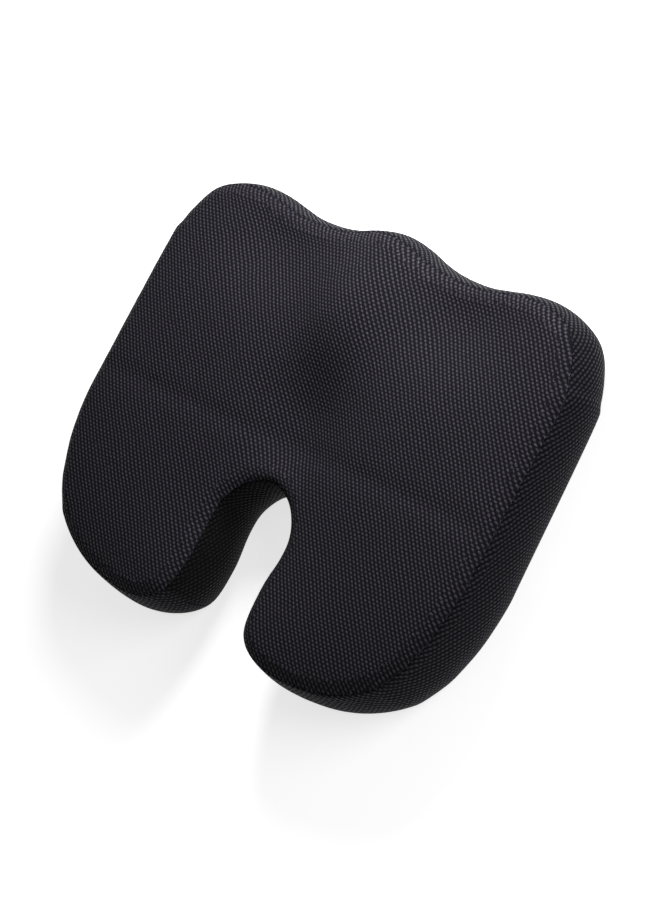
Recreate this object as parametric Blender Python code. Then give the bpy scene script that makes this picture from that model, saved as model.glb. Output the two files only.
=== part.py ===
"""A U-shaped seat cushion: a contoured foam core in a zipped cover of black spacer mesh.

Metres, +Z up.  The front edge faces -Y, the tail notch opens to +Y, the cushion lies on z = 0 and the
origin is the middle of its underside.  The zip runs along the +X side.
"""

import math

import bmesh
import bpy
from mathutils import Vector

MM = 0.001

# The plan outline along the top seam, in mm: x, y and the seam's height.  It goes round the +X half,
# from the notch's apex to the middle of the front edge, and the other half mirrors it.
HALF_OUTLINE = (
    (0.0, 45.0, 56.0),  # notch apex
    (22.0, 53.0, 56.0),
    (38.0, 72.0, 57.0),
    (42.0, 92.0, 58.0),
    (40.5, 125.0, 62.0),
    (47.0, 158.0, 66.0),  # notch mouth
    (69.0, 172.5, 66.0),
    (102.0, 175.5, 64.0),  # rear lobe
    (148.0, 167.0, 63.5),
    (187.5, 143.0, 65.0),  # rear corner
    (208.5, 105.0, 66.0),
    (218.5, 62.0, 65.5),
    (222.5, 0.0, 62.0),
    (222.5, -55.0, 58.0),
    (218.0, -107.0, 54.5),
    (201.0, -146.0, 53.0),  # front corner
    (178.0, -159.0, 53.0),
    (152.0, -162.5, 53.0),
    (126.0, -159.0, 52.5),
    (99.0, -154.5, 51.5),  # thigh scoop
    (66.0, -154.5, 51.0),
    (36.0, -159.5, 52.5),
    (17.0, -165.0, 55.5),
    (0.0, -167.0, 57.0),  # pommel
)
HALF_WIDTH = 220.0  # the sides run straight where the outline would pass this
MOUTH, REAR_CORNER, FRONT_CORNER = 5, 9, 15  # outline points where its stretches meet
SPLINE_STEPS = 8

# The cover's layers and the foam, in mm.
SKIN = 3.5  # spacer mesh
BASE = 1.5  # dotted underside cloth
GAP = 0.3
FOAM_GAP = 0.7
FOAM_EDGE_DROP = 1.0
BULGE = 7.0  # how far the side wall swells past the top seam
FOOT_INSET = 6.0  # how far the bottom seam lies inside the top seam
FOOT_REACH = 40.0  # height at which that inset has faded out
CROWN = 9.5  # rise of the top panel inside its seam
CROWN_REACH = 9.0

# Moulded contours of the top: x, y, spread in x, spread in y, height (mm).  Each pair is mirrored.
CONTOURS = (
    (0.0, -112.0, 30.0, 48.0, 5.0),  # pommel ridge
    (0.0, 25.0, 95.0, 62.0, -5.0),  # seat dish
    (104.0, -120.0, 44.0, 60.0, -4.0),  # thigh groove
)

# Grid of the top panel and the foam.
U_COUNT = 25
U_STEPS = tuple(k / U_COUNT for k in range(U_COUNT - 1)) + (0.955, 1.0)
V_STEPS = (0.0, 0.045, 0.10, 0.18, 0.28, 0.39, 0.5, 0.61, 0.72, 0.82, 0.90, 0.955, 1.0)
RIM_CLEARANCE = 6.5  # inner grid points keep this far from the rim, in mm
WALL_ROWS = 6

# The zip, in mm.
ZIP_HEIGHT = 27.0
ZIP_REAR, ZIP_FRONT = 140.0, -107.0  # y at the ends of the opening
SLIDER_Y = -88.0  # closed, at the front end of the straight side
TEETH_HALF = 1.7
TAPE_HALF = 6.2
TAPE_DEPTHS = (1.5, 2.1)
TEETH_DEPTHS = (-0.5, 1.2)
TEETH_INSET = 9.0  # from the ends of the opening to the ends of the teeth
STOP_LENGTH = 3.0
STOP_HALF = 2.1
STOP_PROUD = 0.8
THREAD_RADIUS = 0.5
THREAD_CLEARANCE = 0.7
STITCH_RADIUS = 0.35
STITCH_OFFSET = 2.2

# The slider and its pull tab, in mm.  A depth is measured inwards from the side wall's surface.
SLIDER_LENGTH = 9.0
SLIDER_HALF = 3.6
CHANNEL_HALF = 2.1
FLANGE_DEPTH = 1.1
PLATE_DEPTHS = (-0.9, -2.3)
BAIL_LENGTH = 6.4
BAIL_HALF = 1.0
BAIL_DEPTH = -5.2
EYE_LENGTH = 4.0
EYE_DEPTHS = (-2.4, -4.5)
PIVOT_DEPTH = -3.45
TAB_LENGTH = 26.0
TAB_HALF = 3.4
TAB_THICK = 1.3
TAB_CORNER = 1.2
TAB_EYE_LENGTH = 5.0
TAB_EYE_HALF = 1.5

COLLECTION = "seat_cushion"


def clear_scene():
    for item in list(bpy.data.objects):
        bpy.data.objects.remove(item)


def spline_point(p0, p1, p2, p3, t):
    """A point on the Catmull-Rom curve between p1 and p2."""
    a = p1 * 2.0
    b = (p2 - p0) * t
    c = (p0 * 2.0 - p1 * 5.0 + p2 * 4.0 - p3) * t * t
    d = (p1 * 3.0 - p0 - p2 * 3.0 + p3) * t ** 3
    return (a + b + c + d) * 0.5


class Outline:
    """The closed outline in mm, measured by the length s from the notch's apex round by the +X side."""

    def __init__(self):
        half = [Vector(p) for p in HALF_OUTLINE]
        mirrored = [Vector((-p.x, p.y, p.z)) for p in half[-2:0:-1]]
        keys = half + mirrored
        self.points = []
        for i in range(len(keys)):
            ring = [keys[(i + k - 1) % len(keys)] for k in range(4)]
            for step in range(SPLINE_STEPS):
                point = spline_point(*ring, step / SPLINE_STEPS)
                point.x = max(-HALF_WIDTH, min(HALF_WIDTH, point.x))
                self.points.append(point)
        self.points.append(self.points[0].copy())
        self.lengths = [0.0]
        for a, b in zip(self.points, self.points[1:]):
            self.lengths.append(self.lengths[-1] + (b.xy - a.xy).length)
        self.total = self.lengths[-1]
        self.half = self.total / 2.0

    def key(self, index):
        """The length at one of the outline's own points."""
        return self.lengths[index * SPLINE_STEPS]

    def at(self, s):
        """The seam point at the length s, interpolated between samples."""
        s = s % self.total
        low, high = 0, len(self.lengths) - 1
        while high - low > 1:
            middle = (low + high) // 2
            if self.lengths[middle] <= s:
                low = middle
            else:
                high = middle
        share = (s - self.lengths[low]) / (self.lengths[high] - self.lengths[low])
        return self.points[low].lerp(self.points[high], share)

    def normal(self, s):
        """The outward direction in plan."""
        tangent = (self.at(s + 2.0) - self.at(s - 2.0)).xy.normalized()
        return Vector((-tangent.y, tangent.x))

    def nearest(self, x, y):
        """The distance from a point in plan to the outline, and the outline length there."""
        point = Vector((x, y))
        best, found = math.inf, 0.0
        for k, (a, b) in enumerate(zip(self.points, self.points[1:])):
            side = (b - a).xy
            share = max(0.0, min(1.0, (point - a.xy).dot(side) / max(side.length_squared, 1e-9)))
            away = (point - a.xy - side * share).length
            if away < best:
                best, found = away, self.lengths[k] + side.length * share
        return best, found

    def s_at_side(self, y):
        """The length at which the +X side passes y."""
        low, high = self.key(REAR_CORNER), self.key(FRONT_CORNER)
        for _ in range(40):
            middle = (low + high) / 2.0
            if self.at(middle).y > y:
                low = middle
            else:
                high = middle
        return low


OUTLINE = Outline()


def wall_offset(z, seam):
    """How far the side wall stands outside the top seam at the height z (mm)."""
    share = max(0.0, min(1.0, z / (seam - SKIN)))
    foot = max(0.0, 1.0 - z / FOOT_REACH) ** 2
    return BULGE * math.sin(math.pi * share) ** 0.8 - FOOT_INSET * foot


def wall_point(s, z, inset):
    """A point of the side wall in mm, moved inwards by the inset."""
    seam = OUTLINE.at(s)
    out = OUTLINE.normal(s) * (wall_offset(z, seam.z) - inset)
    return Vector((seam.x + out.x, seam.y + out.y, z))


def contour(x, y):
    height = 0.0
    for cx, cy, wide, deep, rise in CONTOURS:
        for side in ((1.0,) if cx == 0.0 else (1.0, -1.0)):
            height += rise * math.exp(-((x - side * cx) / wide) ** 2 - ((y - cy) / deep) ** 2)
    return height


def top_height(x, y, seam):
    """The top panel's height over a seam height interpolated from the rim."""
    inside, _ = OUTLINE.nearest(x, y)
    rise = 1.0 - math.exp(-inside / CROWN_REACH)
    return seam + CROWN * rise + contour(x, y) * rise ** 2


def patch_half():
    """The +X half of the top as rows from the notch side to the outer side.  Each entry holds the
    point in mm and, on the rim, its outline length."""
    mouth, corner = OUTLINE.key(MOUTH), OUTLINE.key(REAR_CORNER)
    rows = []
    for u in U_STEPS:
        row = []
        inner_s = mouth * u
        outer_s = OUTLINE.half + (corner - OUTLINE.half) * u
        inner, outer = OUTLINE.at(inner_s), OUTLINE.at(outer_s)
        for v in V_STEPS:
            end_s = mouth + (corner - mouth) * v
            start = OUTLINE.at(0.0).lerp(OUTLINE.at(OUTLINE.half), v)
            end = OUTLINE.at(end_s)
            flat = OUTLINE.at(0.0).lerp(OUTLINE.at(OUTLINE.half), v) * (1.0 - u)
            flat += OUTLINE.at(mouth).lerp(OUTLINE.at(corner), v) * u
            point = inner.lerp(outer, v) + start.lerp(end, u) - flat
            rim = None
            if v == 0.0:
                rim = inner_s
            elif v == 1.0:
                rim = outer_s
            elif u == 1.0:
                rim = end_s
            else:
                away, beside = OUTLINE.nearest(point.x, point.y)
                if away < RIM_CLEARANCE:
                    moved = OUTLINE.at(beside).xy - OUTLINE.normal(beside) * RIM_CLEARANCE
                    point = Vector((moved.x, moved.y, point.z))
            row.append((point, rim))
        rows.append(row)
    return rows


def patch():
    """The whole top's rows, from the -X lobe round to the +X lobe."""
    half = patch_half()
    mirrored = []
    for row in half[:0:-1]:
        mirrored.append([
            (Vector((-p.x, p.y, p.z)), None if rim is None else OUTLINE.total - rim) for p, rim in row
        ])
    return mirrored + half


PATCH = patch()


def perimeter(rows):
    """The grid positions round the rim, in order of growing outline length."""
    last_row, last = len(rows) - 1, len(rows[0]) - 1
    ring = [(i, 0) for i in range(len(rows))]
    ring += [(last_row, j) for j in range(1, last + 1)]
    ring += [(i, last) for i in range(last_row - 1, -1, -1)]
    ring += [(0, j) for j in range(last - 1, 0, -1)]
    return ring


def material(name, colour, roughness, metallic=0.0):
    found = bpy.data.materials.get(name)
    if found:
        return found
    made = bpy.data.materials.new(name)
    made.use_nodes = True
    shader = made.node_tree.nodes["Principled BSDF"]
    shader.inputs["Base Color"].default_value = (*colour, 1.0)
    shader.inputs["Roughness"].default_value = roughness
    shader.inputs["Metallic"].default_value = metallic
    return made


MESH_FABRIC = ("spacer_mesh", (0.021, 0.020, 0.024), 0.85)
BASE_CLOTH = ("base_cloth", (0.018, 0.018, 0.020), 0.9)
FOAM = ("memory_foam", (0.62, 0.60, 0.52), 0.95)
THREAD = ("polyester_thread", (0.015, 0.015, 0.017), 0.6)
TAPE = ("zip_tape", (0.016, 0.016, 0.018), 0.8)
NYLON = ("nylon_coil", (0.02, 0.02, 0.022), 0.35)
ENAMEL = ("black_enamel", (0.025, 0.025, 0.027), 0.3, 0.6)


def finish(name, bm, finish_values, smooth=True):
    """Turn a bmesh in mm into a named object in metres."""
    bmesh.ops.recalc_face_normals(bm, faces=bm.faces)
    bmesh.ops.scale(bm, vec=(MM, MM, MM), verts=bm.verts)
    for face in bm.faces:
        face.smooth = smooth
    mesh = bpy.data.meshes.new(name)
    bm.to_mesh(mesh)
    bm.free()
    mesh.materials.append(material(*finish_values))
    item = bpy.data.objects.new(name, mesh)
    bpy.data.collections[COLLECTION].objects.link(item)
    return item


def capped_loft(sections, closed):
    """Skin equal closed sections in order; the ends are capped, or joined when closed."""
    bm = bmesh.new()
    loops = [[bm.verts.new(p) for p in section] for section in sections]
    pairs = list(zip(loops, loops[1:]))
    if closed:
        pairs.append((loops[-1], loops[0]))
    count = len(loops[0])
    for a, b in pairs:
        for k in range(count):
            n = (k + 1) % count
            bm.faces.new((a[k], a[n], b[n], b[k]))
    if not closed:
        bm.faces.new(loops[0])
        bm.faces.new(loops[-1][::-1])
    return bm


def rim_lengths(start, end):
    """The rim's own lengths between two limits, with both limits included."""
    rims = sorted({PATCH[i][j][1] % OUTLINE.total for i, j in perimeter(PATCH)})
    spread = rims + [s - OUTLINE.total for s in rims] + [s + OUTLINE.total for s in rims]
    inside = sorted(s for s in spread if start + 1.0 < s < end - 1.0)
    return [start] + inside + [end]


def strip_section(s, low, high, depths, rows):
    """A closed section of the side wall between two heights and two depths, in mm."""
    heights = [low + (high - low) * k / rows for k in range(rows + 1)]
    outside = [wall_point(s, z, depths[0]) for z in heights]
    inside = [wall_point(s, z, depths[1]) for z in reversed(heights)]
    return outside + inside


def wall_strip(name, start, end, low, high, depths, rows, finish_values):
    """A strip of the side wall.  low and high are heights, or None for the wall's own edge."""
    sections = []
    for s in rim_lengths(start + GAP / 2.0, end - GAP / 2.0):
        top = OUTLINE.at(s).z - SKIN - GAP if high is None else high
        foot = BASE + GAP if low is None else low
        sections.append(strip_section(s, foot, top, depths, rows))
    return finish(name, capped_loft(sections, closed=False), finish_values)


def wall_thread(name, lengths, height_at, depth, radius, finish_values, closed):
    """A thread of six sides that follows the side wall at a height and a depth."""
    sections = []
    for s in lengths:
        height = height_at(s)
        centre = wall_point(s, height, depth)
        out = OUTLINE.normal(s)
        section = []
        for k in range(6):
            angle = math.tau * k / 6
            aside = out * (radius * math.cos(angle))
            section.append(centre + Vector((aside.x, aside.y, radius * math.sin(angle))))
        sections.append(section)
    return finish(name, capped_loft(sections, closed), finish_values)


def grid_solid(name, top, walls, foot, finish_values):
    """Close a grid of top points with rings of wall points and with a second grid or one flat face."""
    bm = bmesh.new()
    ring = perimeter(top)

    def add_grid(rows, shared, flip):
        made = {}
        for i, row in enumerate(rows):
            for j, point in enumerate(row):
                made[i, j] = shared.get((i, j)) or bm.verts.new(point)
        for i in range(len(rows) - 1):
            for j in range(len(rows[0]) - 1):
                face = [made[i, j], made[i + 1, j], made[i + 1, j + 1], made[i, j + 1]]
                bm.faces.new(face[::-1] if flip else face)
        return made

    upper = add_grid(top, {}, False)
    above = [upper[place] for place in ring]
    for wall in walls:
        below = [bm.verts.new(point) for point in wall]
        for k in range(len(ring)):
            n = (k + 1) % len(ring)
            bm.faces.new((above[k], above[n], below[n], below[k]))
        above = below
    if foot is None:
        bm.faces.new(above)
    else:
        add_grid(foot, dict(zip(ring, above)), True)
    return finish(name, bm, finish_values)


def build_top_panel():
    outer = []
    for row in PATCH:
        outer.append([Vector((p.x, p.y, top_height(p.x, p.y, p.z))) for p, _ in row])
    inner = [[p - Vector((0.0, 0.0, SKIN)) for p in row] for row in outer]
    ring = [inner[i][j] for i, j in perimeter(PATCH)]
    grid_solid("top_panel", outer, [ring], inner, MESH_FABRIC)


def build_foam():
    """The core, with the skin's thickness and a gap all round and its top edge eased."""
    clear = SKIN + FOAM_GAP
    eased = clear + FOAM_EDGE_DROP
    top = []
    for row in PATCH:
        line = []
        for p, rim in row:
            if rim is None:
                line.append(Vector((p.x, p.y, top_height(p.x, p.y, p.z) - clear)))
            else:
                line.append(wall_point(rim, p.z - eased, clear))
        top.append(line)
    walls = []
    for k in range(1, WALL_ROWS + 1):
        wall = []
        for i, j in perimeter(PATCH):
            p, rim = PATCH[i][j]
            high, low = p.z - eased, BASE + GAP
            wall.append(wall_point(rim, high + (low - high) * k / WALL_ROWS, clear))
        walls.append(wall)
    grid_solid("foam_core", top, walls, None, FOAM)


def build_base_panel():
    ring = [PATCH[i][j][1] for i, j in perimeter(PATCH)]
    edge = []
    for s in ring:
        point = wall_point(s, 0.0, 0.0)
        edge.append(Vector((point.x, point.y, 0.0)))
    bm = bmesh.new()
    face = bm.faces.new([bm.verts.new(p) for p in edge])
    lifted = bmesh.ops.extrude_face_region(bm, geom=[face])["geom"]
    lifted_verts = [v for v in lifted if isinstance(v, bmesh.types.BMVert)]
    bmesh.ops.translate(bm, verts=lifted_verts, vec=(0.0, 0.0, BASE))
    finish("base_panel", bm, BASE_CLOTH, smooth=False)


def build_gusset():
    """The side wall: the notch band, the band round the front and one side, the short rear band,
    and the two strips that hold the zip."""
    mouth = OUTLINE.key(MOUTH)
    rear, front = OUTLINE.s_at_side(ZIP_REAR), OUTLINE.s_at_side(ZIP_FRONT)
    around = OUTLINE.total - mouth
    depths = (0.0, SKIN)
    wall_strip("gusset_notch", -mouth, mouth, None, None, depths, WALL_ROWS, MESH_FABRIC)
    wall_strip("gusset_rear_left", mouth, rear, None, None, depths, WALL_ROWS, MESH_FABRIC)
    wall_strip("gusset_front_right", front, around, None, None, depths, WALL_ROWS, MESH_FABRIC)
    upper, lower = ZIP_HEIGHT + TAPE_HALF + GAP, ZIP_HEIGHT - TAPE_HALF - GAP
    wall_strip("gusset_zip_upper", rear, front, upper, None, depths, 3, MESH_FABRIC)
    wall_strip("gusset_zip_lower", rear, front, None, lower, depths, 3, MESH_FABRIC)


def build_threads():
    ring = [PATCH[i][j][1] for i, j in perimeter(PATCH)]

    def top_joint(s):
        return OUTLINE.at(s).z - SKIN - GAP / 2.0

    def foot_joint(s):
        return BASE / 2.0

    beside = -THREAD_RADIUS - THREAD_CLEARANCE
    wall_thread("top_seam_thread", ring, top_joint, beside, THREAD_RADIUS, THREAD, closed=True)
    wall_thread("base_seam_thread", ring, foot_joint, beside, THREAD_RADIUS, THREAD, closed=True)
    rear, front = OUTLINE.s_at_side(ZIP_REAR), OUTLINE.s_at_side(ZIP_FRONT)
    run = rim_lengths(rear + 2.0, front - 2.0)
    for name, side in (("upper", 1.0), ("lower", -1.0)):
        height = ZIP_HEIGHT + side * (TAPE_HALF + STITCH_OFFSET)
        wall_thread("zip_topstitch_" + name, run, lambda s, z=height: z, -STITCH_RADIUS - GAP,
                    STITCH_RADIUS, THREAD, closed=False)


def build_zip_chain():
    rear, front = OUTLINE.s_at_side(ZIP_REAR), OUTLINE.s_at_side(ZIP_FRONT)
    for name, side in (("upper", 1.0), ("lower", -1.0)):
        tape = sorted((ZIP_HEIGHT + side * GAP / 2.0, ZIP_HEIGHT + side * TAPE_HALF))
        teeth = sorted((ZIP_HEIGHT + side * GAP / 2.0, ZIP_HEIGHT + side * TEETH_HALF))
        wall_strip("zip_tape_" + name, rear, front, *tape, TAPE_DEPTHS, 1, TAPE)
        wall_strip("zip_teeth_" + name, rear + TEETH_INSET, front - TEETH_INSET, *teeth, TEETH_DEPTHS, 1,
                   NYLON)


def box_mesh(bm, low, high):
    """Add a box between two corners, in mm, and return its vertices."""
    verts = bmesh.ops.create_cube(bm, size=1.0)["verts"]
    size = [h - l for l, h in zip(low, high)]
    middle = [(h + l) / 2.0 for l, h in zip(low, high)]
    bmesh.ops.scale(bm, vec=size, verts=verts)
    bmesh.ops.translate(bm, vec=middle, verts=verts)
    return verts


def build_stops():
    """The crimped stops beyond the ends of the teeth: two at the closed end and one at the open end."""
    rear, front = OUTLINE.s_at_side(ZIP_REAR), OUTLINE.s_at_side(ZIP_FRONT)
    depths = (-STOP_PROUD, TAPE_DEPTHS[0] - GAP)
    start = front - TEETH_INSET + GAP
    for name, low, high in (("upper", GAP, STOP_HALF), ("lower", -STOP_HALF, -GAP)):
        wall_strip("zip_top_stop_" + name, start, start + STOP_LENGTH, ZIP_HEIGHT + low,
                   ZIP_HEIGHT + high, depths, 1, ENAMEL)
    start = rear + TEETH_INSET - GAP - STOP_LENGTH
    wall_strip("zip_bottom_stop", start, start + STOP_LENGTH, ZIP_HEIGHT - STOP_HALF,
               ZIP_HEIGHT + STOP_HALF, depths, 1, ENAMEL)


def side_x():
    """Where the straight stretch of the side wall stands at the zip's height, in mm."""
    return wall_point(OUTLINE.s_at_side(0.0), ZIP_HEIGHT, 0.0).x


def across_edges(bm):
    """The edges that run straight out from the side wall."""
    return [e for e in bm.edges if abs((e.verts[0].co - e.verts[1].co).normalized().x) > 0.9]


def block(name, depths, y_range, half_height, corner=0.0):
    """A block on the side wall: its two depths, its y range and half its height about the zip."""
    bm = bmesh.new()
    wall = side_x()
    box_mesh(bm, (wall - depths[0], y_range[0], ZIP_HEIGHT - half_height),
             (wall - depths[1], y_range[1], ZIP_HEIGHT + half_height))
    if corner:
        bmesh.ops.bevel(bm, geom=across_edges(bm), offset=corner, segments=3, profile=0.5,
                        affect="EDGES", material=-1)
    return finish(name, bm, ENAMEL, smooth=False)


def combine(body, tool, operation):
    """Join a hidden tool to a body, or cut the body with it."""
    modifier = body.modifiers.new(tool.name, "BOOLEAN")
    modifier.operation = operation
    modifier.solver = "EXACT"
    modifier.object = tool
    bpy.data.collections[COLLECTION].objects.unlink(tool)
    bpy.data.collections["cutters"].objects.link(tool)
    tool.hide_render = True
    tool.display_type = "WIRE"


def build_slider():
    """The slider: a plate over the teeth, flanges down both sides of them, and the bail on its face."""
    half = SLIDER_LENGTH / 2.0
    length = (SLIDER_Y - half, SLIDER_Y + half)
    body = block("zip_slider", (FLANGE_DEPTH, PLATE_DEPTHS[1]), length, SLIDER_HALF, 1.6)
    beyond = (length[0] - 1.0, length[1] + 1.0)
    combine(body, block("teeth_channel", (FLANGE_DEPTH + 1.0, PLATE_DEPTHS[0]), beyond, CHANNEL_HALF),
            "DIFFERENCE")
    bail = (SLIDER_Y - BAIL_LENGTH / 2.0, SLIDER_Y + BAIL_LENGTH / 2.0)
    combine(body, block("bail_shape", (PLATE_DEPTHS[1] + 0.5, BAIL_DEPTH), bail, BAIL_HALF), "UNION")
    opening = (SLIDER_Y - EYE_LENGTH / 2.0, SLIDER_Y + EYE_LENGTH / 2.0)
    combine(body, block("bail_opening", EYE_DEPTHS, opening, BAIL_HALF + 1.0), "DIFFERENCE")


def build_pull_tab():
    """The tab lies along the zip towards the rear.  Its end bar turns in the bail, and the bail's
    leg stands in the tab's eye."""
    half = TAB_THICK / 2.0
    depths = (PIVOT_DEPTH + half, PIVOT_DEPTH - half)
    length = (SLIDER_Y - half, SLIDER_Y + TAB_LENGTH)
    tab = block("zip_pull_tab", depths, length, TAB_HALF, TAB_CORNER)
    through = (depths[0] + 1.0, depths[1] - 1.0)
    eye = (SLIDER_Y + half, SLIDER_Y + TAB_EYE_LENGTH)
    combine(tab, block("tab_eye", through, eye, TAB_EYE_HALF), "DIFFERENCE")
    grip = (SLIDER_Y + TAB_LENGTH - 9.0, SLIDER_Y + TAB_LENGTH - 4.0)
    combine(tab, block("tab_hole", through, grip, TAB_EYE_HALF, 1.4), "DIFFERENCE")


def main():
    clear_scene()
    for name in (COLLECTION, "cutters"):
        bpy.context.scene.collection.children.link(bpy.data.collections.new(name))
    build_foam()
    build_top_panel()
    build_base_panel()
    build_gusset()
    build_threads()
    build_zip_chain()
    build_stops()
    build_slider()
    build_pull_tab()


main()
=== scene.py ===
"""The looks of a U-shaped seat cushion: a sewn spacer-mesh cover over moulded foam, on a pale floor.

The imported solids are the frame.  The cover is one closed shell that is inflated as cloth on the foam's
shape, pinched along its seams and then cut into its sewn panels.  Metres, +Z up, front edge at -Y.
"""

import math

import bmesh
import bpy
import numpy as np
from bpy.props import FloatProperty, FloatVectorProperty, IntProperty, PointerProperty
from mathutils import Matrix, Vector, kdtree


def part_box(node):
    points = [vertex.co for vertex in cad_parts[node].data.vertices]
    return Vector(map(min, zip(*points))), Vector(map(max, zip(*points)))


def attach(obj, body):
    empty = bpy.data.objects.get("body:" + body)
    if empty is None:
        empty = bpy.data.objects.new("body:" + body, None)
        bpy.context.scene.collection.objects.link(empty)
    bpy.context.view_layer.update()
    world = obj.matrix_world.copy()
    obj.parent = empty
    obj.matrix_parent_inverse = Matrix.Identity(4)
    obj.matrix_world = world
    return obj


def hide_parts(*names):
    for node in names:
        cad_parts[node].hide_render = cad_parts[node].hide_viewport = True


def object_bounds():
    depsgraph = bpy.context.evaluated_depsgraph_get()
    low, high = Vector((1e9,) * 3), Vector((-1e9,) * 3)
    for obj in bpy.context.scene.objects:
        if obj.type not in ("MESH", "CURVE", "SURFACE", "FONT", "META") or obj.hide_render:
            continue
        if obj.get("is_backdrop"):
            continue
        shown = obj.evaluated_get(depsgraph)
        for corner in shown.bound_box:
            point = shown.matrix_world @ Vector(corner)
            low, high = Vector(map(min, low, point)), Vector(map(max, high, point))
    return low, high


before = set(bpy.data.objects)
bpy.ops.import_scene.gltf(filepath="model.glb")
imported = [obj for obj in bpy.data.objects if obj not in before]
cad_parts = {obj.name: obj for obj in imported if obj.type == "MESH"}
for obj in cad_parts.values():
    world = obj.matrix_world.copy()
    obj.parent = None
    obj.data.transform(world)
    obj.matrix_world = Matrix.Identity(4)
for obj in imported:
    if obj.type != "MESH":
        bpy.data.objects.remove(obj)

bl_info = {
    "name": "Seat cushion",
    "version": (1, 0, 0),
    "blender": (4, 5, 0),
    "location": "View3D > Sidebar > Cushion",
    "description": "Builds the sewn cover, the base, the zip and the stage of a seat cushion",
    "category": "Object",
}

MM = 0.001
CAD_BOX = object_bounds()

# The cover's panels, as face numbers of the shell: (number, piece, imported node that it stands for).
TOP, NOTCH, REAR, SIDE, ZIP_UPPER, ZIP_LOWER, TAPE_UPPER, TAPE_LOWER, BASE = range(9)
FABRIC_PANELS = (
    (TOP, "cover_top", "top_panel"),
    (NOTCH, "cover_notch_gusset", "gusset_notch"),
    (REAR, "cover_rear_corner_gusset", "gusset_rear_left"),
    (SIDE, "cover_front_side_gusset", "gusset_front_right"),
    (ZIP_UPPER, "cover_zip_gusset_upper", "gusset_zip_upper"),
    (ZIP_LOWER, "cover_zip_gusset_lower", "gusset_zip_lower"),
)
TAPE_PANELS = (
    (TAPE_UPPER, "zip_woven_tape_upper", "zip_tape_upper"),
    (TAPE_LOWER, "zip_woven_tape_lower", "zip_tape_lower"),
)

# Contours moulded in the foam's top: x, y, spread in x, spread in y, height, in mm.
CONTOURS = (
    (0.0, -98.0, 36.0, 48.0, 12.5),  # pommel ridge between the legs
    (0.0, -8.0, 46.0, 46.0, -13.0),  # hollow behind the ridge
    (0.0, 40.0, 30.0, 34.0, -5.0),  # dip towards the notch
    (104.0, -126.0, 44.0, 40.0, -7.5),  # thigh grooves, left and right
    (-104.0, -126.0, 44.0, 40.0, -7.5),
    (112.0, -70.0, 62.0, 50.0, 3.0),  # swell behind the grooves
    (-112.0, -70.0, 62.0, 50.0, 3.0),
)
# The fold across the top: y at x = 0, slope, half width, height, in mm.
CREASE = (14.0, 0.03, 6.0, -1.8)
# The seam allowance under the rim: distance inside the seam, half width, height, in mm.
BEAD = (9.0, 5.0, 1.3)

# The shell's mesh rows, in mm.
RIM_RINGS = (0.9, 2.0, 3.5, 6.0, 10.0)  # inside the seam
ROWS_UNDER_SEAM = (0.9, 2.0, 3.5, 6.0)  # below the seam
SHARES_TO_ZIP = (0.33, 0.67)  # shares of the way from those rows to the zip
ROWS_ABOVE_FLOOR = (15.5, 10.5, 6.5, 3.8, 2.0, 0.9)
CLOTH_FRAMES = 20
CLOTH_QUALITY = 5
PINCH_POWER = 1.6  # how sharply a seam turns in

FOAM_INSET = 5.2 * MM  # between the cover's face and the foam's
FOAM_FLOOR = 2.6 * MM  # the foam's lowest point
BASE_TURN_IN = 2.5 * MM
BASE_THICKNESS = 0.9 * MM
STITCH_SHARE = 0.86  # of a stitch's pitch that its thread covers
TAPE_SUNK = 1.5 * MM  # how far the zip's tapes lie behind the side wall
TAPE_THICKNESS = 0.5 * MM
COIL_END = 9 * MM  # from each end of the zip's opening to its coils
COIL_SUNK = 0.35 * MM
COIL_WIDTH, COIL_PLACE = 0.58, 0.42  # shares of the coil's half width
COIL_DEPTH = 0.75 * MM
CRIMP_EDGE = 0.3 * MM
FLOOR_REACH = 6.0
FLOOR_DROP = 0.2 * MM

# Name, place, size across in metres, and power as a share of the key light's.
LIGHTS = (
    ("key", (0.02, -0.52, 0.38), 0.30, 1.0),
    ("fill", (-1.35, -0.65, 0.75), 1.0, 2.5),
)

# ---------------------------------------------------------------- settings


class CoverSettings(bpy.types.PropertyGroup):
    """Sizes of the sewn cover and its knit."""

    columns: IntProperty(name="Columns", description="Mesh columns round the seam", default=480, min=120)
    cell: FloatProperty(name="Cell", description="Mesh size of the top", default=7 * MM, unit="LENGTH")
    crown: FloatProperty(name="Crown", description="Rise of the top inside its seam", default=7.0 * MM,
                         unit="LENGTH")
    crown_reach: FloatProperty(name="Crown reach", description="Distance over which the crown rises",
                               default=9 * MM, unit="LENGTH")
    swell: FloatProperty(name="Swell", description="How far the side wall stands outside the seam",
                         default=7 * MM, unit="LENGTH")
    foot_inset: FloatProperty(name="Foot inset", description="How far the lower seam lies inside the upper",
                              default=6 * MM, unit="LENGTH")
    foot_reach: FloatProperty(name="Foot reach", description="Height at which the inset has faded",
                              default=40 * MM, unit="LENGTH")
    pressure: FloatProperty(name="Pressure", description="Cloth pressure that fills the cover", default=4.0)
    puff: FloatProperty(name="Puff", description="Most that the fabric may swell", default=3.5 * MM,
                        unit="LENGTH")
    seam_depth: FloatProperty(name="Seam depth", description="Depth of the turned-in seam",
                              default=1.1 * MM, unit="LENGTH")
    seam_width: FloatProperty(name="Seam width", description="Half width of the turned-in seam",
                              default=1.9 * MM, unit="LENGTH")
    thickness: FloatProperty(name="Thickness", description="Thickness of the fabric", default=1.2 * MM,
                             unit="LENGTH")
    knot_pitch_across: FloatProperty(name="Knot pitch across", description="Between knots in a row",
                                     default=4.4 * MM, unit="LENGTH")
    knot_pitch_along: FloatProperty(name="Knot pitch along", description="Between every second row",
                                    default=5.48 * MM, unit="LENGTH")


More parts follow.
